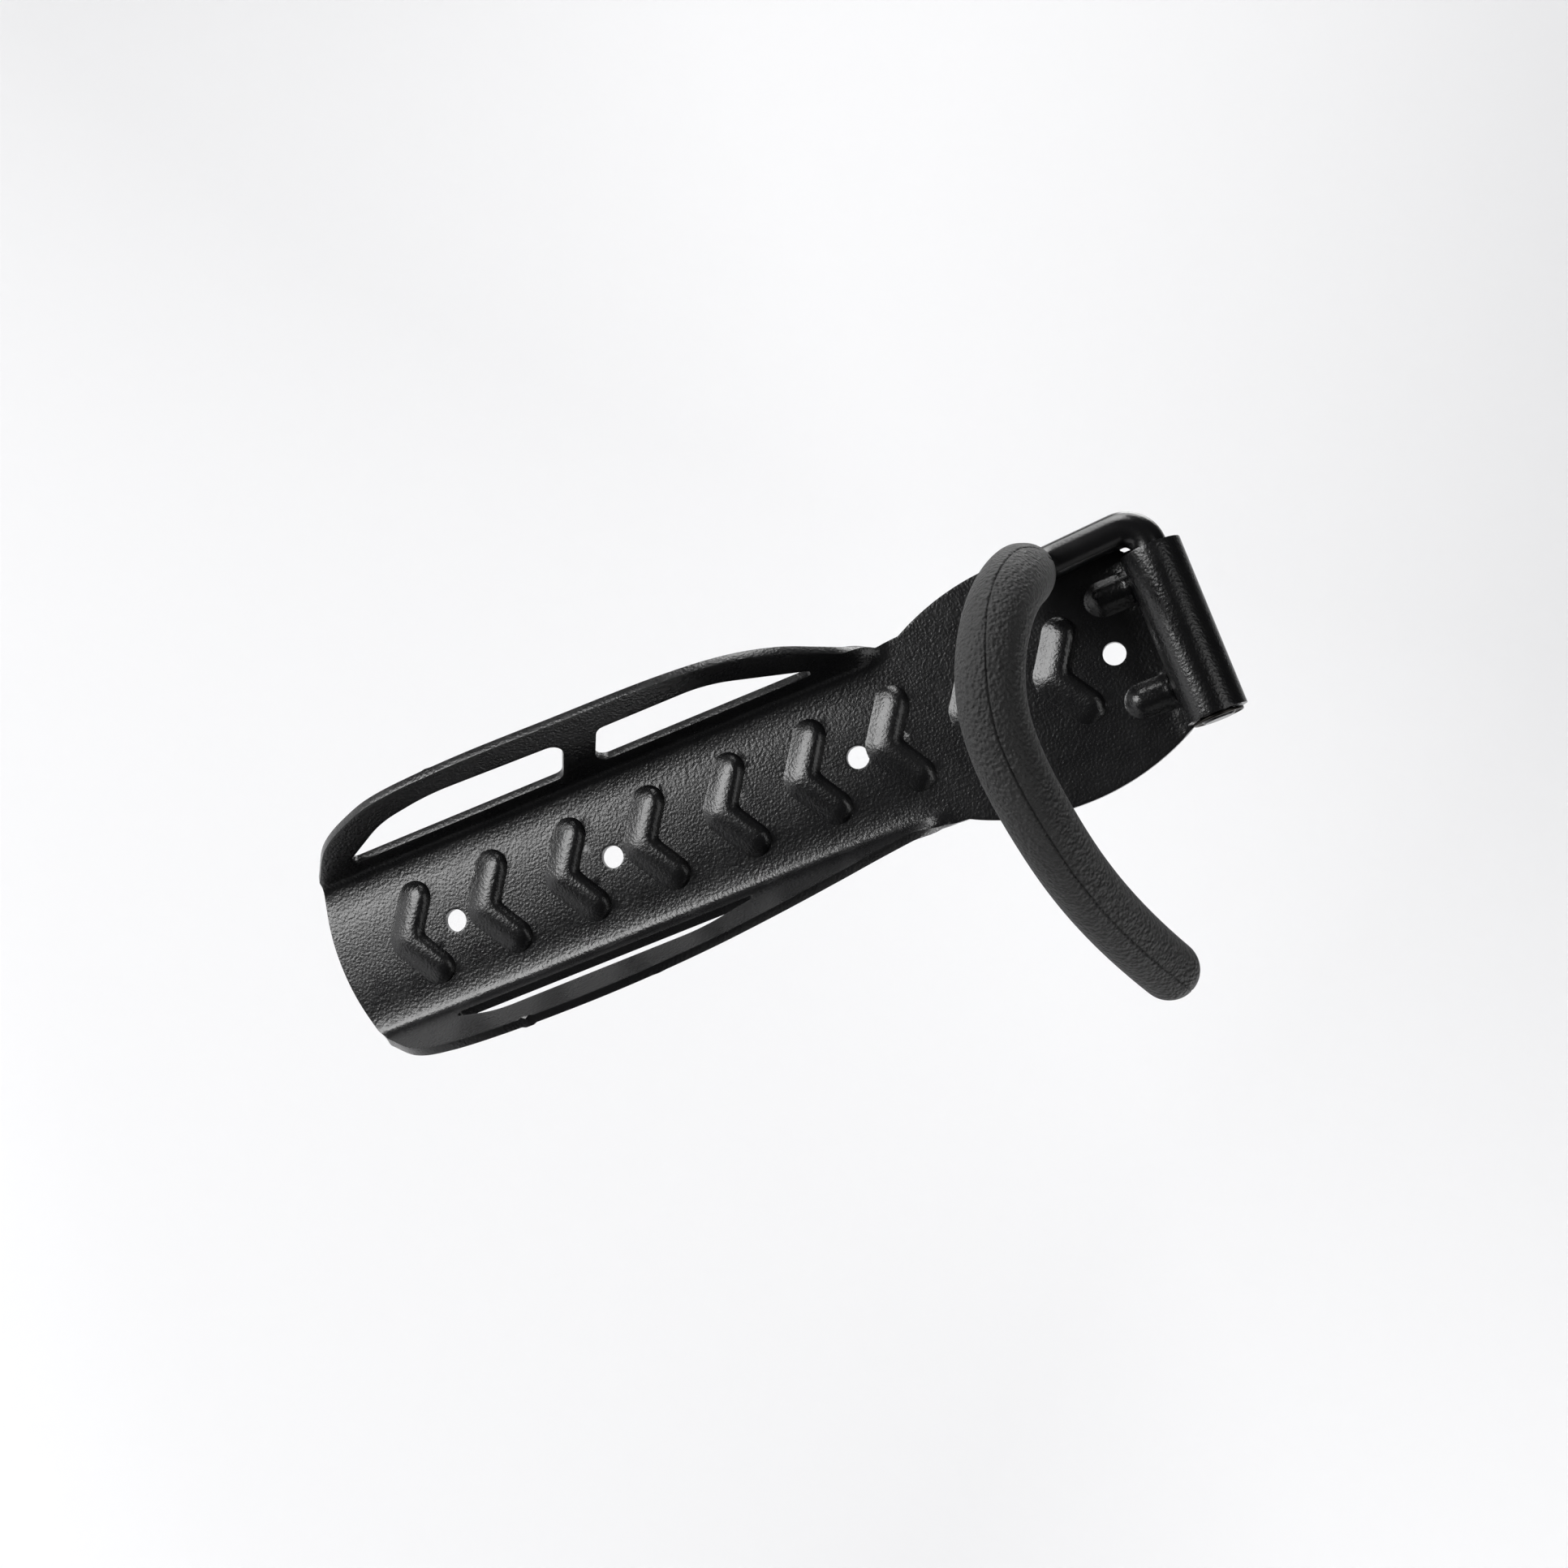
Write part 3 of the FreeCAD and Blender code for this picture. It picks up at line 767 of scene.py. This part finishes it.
def make_ring():
    """Push-on ring: a rim and, in each sector, one prong that bites on the bar."""
    _, hook = settings()
    material = spring_steel()
    count, steps = hook.prongs, 20
    outer, root = RING_HIGH.y - HINGE.y, RING_ROOT
    bite = hook.rod_radius / MM + RING_BITE
    back, front = RING_LOW.x, RING_HIGH.x
    sector = 2 * math.pi / count
    points, faces, rows = [], [], []
    for i in range(steps + 1):
        t = sector * (i / steps - 0.5)
        prong = smoothstep((0.36 * sector - abs(t)) / (0.08 * sector))
        inner = root + (bite - root) * prong
        # section: front of the inner edge, dished web, rolled rim, and the back of the same
        profile = [(back + 0.3 + RING_SHEET, inner), (back + 0.2 + RING_SHEET, root + 0.2),
                   (back + RING_SHEET, outer - 0.5), (front - 0.08, outer - 0.45),
                   (front, outer - 0.28), (front - 0.08, outer - 0.08), (back + 0.3, outer),
                   (back + 0.08, outer - 0.08), (back, outer - 0.3), (back + 0.2, root + 0.2),
                   (back + 0.3, inner)]
        rows.append(len(points))
        points += [Vector((x, r * math.cos(t), r * math.sin(t))) for x, r in profile]
    size = len(profile)
    for a, b in zip(rows, rows[1:]):
        faces += [(a + i, a + (i + 1) % size, b + (i + 1) % size, b + i) for i in range(size)]
    piece = mesh_object("push_on_ring", points, faces)
    tree, count_id = prong_ring_nodes(material)
    repeat = piece.modifiers.new("Prongs", "NODES")
    repeat.node_group = tree
    repeat[count_id] = count
    piece = bake_modifiers(piece)
    piece.data.transform(Matrix.Translation(Vector((0, HINGE.y, HINGE.z)) * MM))
    even_normals(piece)
    finish_piece(piece, "hook", "retaining_ring", material)


# ---- materials ----------------------------------------------------------------------------------
def new_material(name):
    """A material with its tree, its object coordinates and its shader, already joined to the output."""
    material = bpy.data.materials.new(name)
    material.use_nodes = True
    tree = material.node_tree
    tree.nodes.clear()
    place = add_node(tree, "ShaderNodeTexCoord").outputs["Object"]
    shader = add_node(tree, "ShaderNodeBsdfPrincipled")
    add_node(tree, "ShaderNodeOutputMaterial", {"Surface": shader.outputs["BSDF"]})
    return material, tree, place, shader


def mixed(tree, factor, dark, light):
    """A colour between two fixed colours."""
    ramp = add_node(tree, "ShaderNodeMix", {"Factor": factor}, data_type="RGBA")
    ramp.inputs["A"].default_value = (*dark, 1)
    ramp.inputs["B"].default_value = (*light, 1)
    return ramp.outputs["Result"]


def scaled(base, share):
    return tuple(c * share for c in base)


def graded(tree, value, low, high, to_low, to_high):
    """A value moved from one range to another."""
    scale = add_node(tree, "ShaderNodeMapRange", {"Value": value})
    for key, number in (("From Min", low), ("From Max", high), ("To Min", to_low), ("To Max", to_high)):
        scale.inputs[key].default_value = number
    return scale.outputs["Result"]


def powder_coat(name, rough, peel_depth):
    """Black polyester powder coat baked on steel: semi-gloss, with the fine orange peel of melted powder
    and a few pale specks of dust that settled on it."""
    finish = bpy.context.scene.wall_rack_finish
    base = tuple(finish.coat)
    material, tree, place, shader = new_material(name)
    grain = 1 / finish.coat_grain
    peel = add_node(tree, "ShaderNodeTexNoise", {"Vector": place}, Scale=grain, Detail=2.0, Roughness=0.45)
    wave = add_node(tree, "ShaderNodeTexNoise", {"Vector": place}, Scale=grain / 9, Detail=3.0)
    dust = add_node(tree, "ShaderNodeTexVoronoi", {"Vector": place}, Scale=1 / 0.009)
    speck = graded(tree, dust.outputs["Distance"], 0.022, 0.034, 1, 0)
    cell = add_node(tree, "ShaderNodeSeparateColor", {"Color": dust.outputs["Color"]})
    rare = graded(tree, cell.outputs[0], 0.70, 0.71, 0, 1)    # only some of the cells hold a speck
    dusty = add_node(tree, "ShaderNodeMath", {0: speck, 1: rare}, operation="MULTIPLY").outputs[0]
    tone = mixed(tree, wave.outputs["Fac"], scaled(base, 0.9), scaled(base, 1.15))
    final = add_node(tree, "ShaderNodeMix", {"Factor": dusty, "A": tone}, data_type="RGBA")
    final.inputs["B"].default_value = (*linear("#8f8f8d"), 1)
    tree.links.new(final.outputs["Result"], shader.inputs["Base Color"])
    tree.links.new(graded(tree, wave.outputs["Fac"], 0.3, 0.7, *rough), shader.inputs["Roughness"])
    shader.inputs["IOR"].default_value = 1.5
    bump = add_node(tree, "ShaderNodeBump", {"Height": peel.outputs["Fac"]},
                    Strength=peel_depth, Distance=0.0004)
    tree.links.new(bump.outputs["Normal"], shader.inputs["Normal"])
    return material


def moulded_rubber():
    """Black moulded rubber: matt, with the pebbled skin of a sand-blasted mould."""
    finish = bpy.context.scene.wall_rack_finish
    base = tuple(finish.rubber)
    material, tree, place, shader = new_material("moulded_rubber")
    grain = 1 / finish.rubber_grain
    pebble = add_node(tree, "ShaderNodeTexVoronoi", {"Vector": place}, feature="SMOOTH_F1", Scale=grain)
    crumb = add_node(tree, "ShaderNodeTexNoise", {"Vector": place}, Scale=grain * 0.6, Detail=4.0,
                     Roughness=0.7)
    height = add_node(tree, "ShaderNodeMath", {0: pebble.outputs["Distance"], 1: crumb.outputs["Fac"]},
                      operation="SUBTRACT").outputs[0]
    tone = mixed(tree, crumb.outputs["Fac"], scaled(base, 0.45), scaled(base, 1.6))
    tree.links.new(tone, shader.inputs["Base Color"])
    tree.links.new(graded(tree, crumb.outputs["Fac"], 0.3, 0.7, 0.62, 0.78), shader.inputs["Roughness"])
    shader.inputs["IOR"].default_value = 1.52
    bump = add_node(tree, "ShaderNodeBump", {"Height": height}, Strength=1.0, Distance=0.0008)
    tree.links.new(bump.outputs["Normal"], shader.inputs["Normal"])
    return material


def spring_steel():
    """Blackened and oiled spring steel: a dark metal with fine, uneven marks from tumbling."""
    base = tuple(bpy.context.scene.wall_rack_finish.ring)
    material, tree, place, shader = new_material("spring_steel")
    marks = add_node(tree, "ShaderNodeTexNoise", {"Vector": place}, Scale=1 / 0.0012, Detail=2.0)
    tone = mixed(tree, marks.outputs["Fac"], scaled(base, 0.7), scaled(base, 1.3))
    tree.links.new(tone, shader.inputs["Base Color"])
    tree.links.new(graded(tree, marks.outputs["Fac"], 0.3, 0.7, 0.3, 0.45), shader.inputs["Roughness"])
    shader.inputs["Metallic"].default_value = 1.0
    bump = add_node(tree, "ShaderNodeBump", {"Height": marks.outputs["Fac"]}, Strength=0.15,
                    Distance=0.0002)
    tree.links.new(bump.outputs["Normal"], shader.inputs["Normal"])
    return material


def studio_paper():
    """Seamless white background paper: matt, with a hardly visible tone of its fibres."""
    base = tuple(bpy.context.scene.wall_rack_stage.backdrop)
    material, tree, place, shader = new_material("studio_paper")
    fibre = add_node(tree, "ShaderNodeTexNoise", {"Vector": place}, Scale=1 / 0.02, Detail=4.0)
    tone = mixed(tree, fibre.outputs["Fac"], scaled(base, 0.995), base)
    tree.links.new(tone, shader.inputs["Base Color"])
    shader.inputs["Roughness"].default_value = 0.9
    return material


# ---- stage --------------------------------------------------------------------------------------
# sizes of the stage are in metres, powers in watts
PAPER_BACK_Y, PAPER_FRONT_Y = 1.6, -0.5
PAPER_FLOOR_Z, PAPER_TOP_Z, PAPER_BEND_R = -0.75, 2.1, 0.7
PAPER_HALF, PAPER_COLUMNS, PAPER_BEND_STEPS = 2.2, 12, 16


def make_backdrop():
    """Floor and wall of one sheet of paper with a wide bend between them."""
    profile = [(PAPER_FRONT_Y, PAPER_FLOOR_Z)]
    for i in range(PAPER_BEND_STEPS + 1):
        t = math.pi / 2 * i / PAPER_BEND_STEPS
        profile.append((PAPER_BACK_Y - PAPER_BEND_R * (1 - math.sin(t)),
                        PAPER_FLOOR_Z + PAPER_BEND_R * (1 - math.cos(t))))
    profile.append((PAPER_BACK_Y, PAPER_TOP_Z))
    columns = PAPER_COLUMNS
    points = [(PAPER_HALF * (2 * i / columns - 1) / MM, y / MM, z / MM) for y, z in profile
              for i in range(columns + 1)]
    faces = []
    for row in range(len(profile) - 1):
        for i in range(columns):
            a = row * (columns + 1) + i
            faces.append((a, a + 1, a + columns + 2, a + columns + 1))
    paper = mesh_object("studio_backdrop", points, faces)
    paper.data.materials.append(studio_paper())


def softbox(name, place, aim, size, power):
    """A rectangular soft light that shines from a place towards a point."""
    data = bpy.data.lights.new(name, "AREA")
    data.shape, data.size, data.size_y, data.energy = "RECTANGLE", size[0], size[1], power
    light = bpy.data.objects.new(name, data)
    light.location = place
    light.visible_camera = False
    light.rotation_euler = (Vector(aim) - Vector(place)).to_track_quat("-Z", "Y").to_euler()
    bpy.context.scene.collection.objects.link(light)


def make_lights():
    softbox("key_left", (-0.85, -0.15, 0.23), (0, 0, 0), (0.5, 0.36), 4.2)
    softbox("box_below", (-0.400, -0.560, -0.400), (0, 0, -0.02), (0.52, 0.50), 8.8)
    softbox("box_above", (0.3, -0.42, 0.62), (0, 0, 0.05), (1.0, 0.34), 2.0)
    softbox("fill_right", (0.95, -0.40, 0.20), (0, 0, 0), (0.5, 0.5), 0.3)
    softbox("back_left", (-0.8, 0.75, 0.55), (0, 0, 0), (0.6, 0.6), 5)
    softbox("back_right", (0.8, 0.75, 0.45), (0, 0, 0), (0.6, 0.6), 5)
    for name, side in (("paper_left", -1), ("paper_right", 1)):
        softbox(name, (side * 1.5, 0.45, 0.4), (0, 1.6, 0.1), (0.7, 1.6), 15.6)
    world = bpy.data.worlds.new("studio")
    world.use_nodes = True
    sky = world.node_tree.nodes["Background"]
    sky.inputs["Color"].default_value = (*linear("#f2f3f5"), 1)
    sky.inputs["Strength"].default_value = 0.04
    bpy.context.scene.world = world


def make_camera():
    """A camera that looks from its place at its target, rolled about that line."""
    stage = bpy.context.scene.wall_rack_stage
    place, target = Vector(stage.camera), Vector(stage.target)
    away = (place - target).normalized()
    right = Vector((0, 0, 1)).cross(away).normalized()
    up = away.cross(right)
    x_axis = right * math.cos(stage.roll) + up * math.sin(stage.roll)
    y_axis = away.cross(x_axis)
    data = bpy.data.cameras.new("camera")
    data.lens, data.sensor_width = stage.lens, 36
    data.clip_start, data.clip_end = 0.01, 20
    camera = bpy.data.objects.new("camera", data)
    camera.matrix_world = Matrix.Translation(place) @ Matrix((x_axis, y_axis, away)).transposed().to_4x4()
    bpy.context.scene.collection.objects.link(camera)
    bpy.context.scene.camera = camera
    bpy.context.scene.view_settings.view_transform = "Standard"


# ---- operators ----------------------------------------------------------------------------------
class WALLRACK_OT_plate(bpy.types.Operator):
    """Make the stamped wall plate with its tray, chevrons and hinge barrel"""
    bl_idname = "wallrack.plate"
    bl_label = "Stamped Plate"

    def execute(self, context):
        make_plate()
        return {"FINISHED"}


class WALLRACK_OT_rod(bpy.types.Operator):
    """Make the bent steel bar of the hook"""
    bl_idname = "wallrack.rod"
    bl_label = "Hook Bar"

    def execute(self, context):
        make_rod()
        return {"FINISHED"}


class WALLRACK_OT_sleeve(bpy.types.Operator):
    """Make the moulded rubber sleeve of the hook"""
    bl_idname = "wallrack.sleeve"
    bl_label = "Rubber Sleeve"

    def execute(self, context):
        make_sleeve()
        return {"FINISHED"}


class WALLRACK_OT_ring(bpy.types.Operator):
    """Make the push-on ring that keeps the bar in the barrel"""
    bl_idname = "wallrack.ring"
    bl_label = "Retaining Ring"

    def execute(self, context):
        make_ring()
        return {"FINISHED"}


class WALLRACK_OT_stage(bpy.types.Operator):
    """Make the paper backdrop, the soft lights and the camera"""
    bl_idname = "wallrack.stage"
    bl_label = "Studio Stage"

    def execute(self, context):
        make_backdrop()
        make_lights()
        make_camera()
        return {"FINISHED"}


OPERATORS = [WALLRACK_OT_stage, WALLRACK_OT_plate, WALLRACK_OT_rod, WALLRACK_OT_sleeve, WALLRACK_OT_ring]
GROUPS = {"wall_rack_plate": PlateSettings, "wall_rack_hook": HookSettings,
          "wall_rack_finish": FinishSettings, "wall_rack_stage": StageSettings}


class WALLRACK_PT_panel(bpy.types.Panel):
    """Sizes, colours and steps of the wall rack"""
    bl_idname = "WALLRACK_PT_panel"
    bl_label = "Wall Rack"
    bl_space_type = "VIEW_3D"
    bl_region_type = "UI"
    bl_category = "Wall Rack"

    def draw(self, context):
        for attribute, group in GROUPS.items():
            box = self.layout.box()
            for name in group.__annotations__:
                box.prop(getattr(context.scene, attribute), name)
        for operator in OPERATORS:
            self.layout.operator(operator.bl_idname)


CLASSES = list(GROUPS.values()) + OPERATORS + [WALLRACK_PT_panel]


def register():
    for cls in CLASSES:
        bpy.utils.register_class(cls)
    for attribute, group in GROUPS.items():
        setattr(bpy.types.Scene, attribute, PointerProperty(type=group))


def unregister():
    for attribute in GROUPS:
        delattr(bpy.types.Scene, attribute)
    for cls in reversed(CLASSES):
        bpy.utils.unregister_class(cls)


def main():
    register()
    for operator in OPERATORS:
        prefix, name = operator.bl_idname.split(".")
        getattr(getattr(bpy.ops, prefix), name)()


if __name__ == "__main__":
    main()
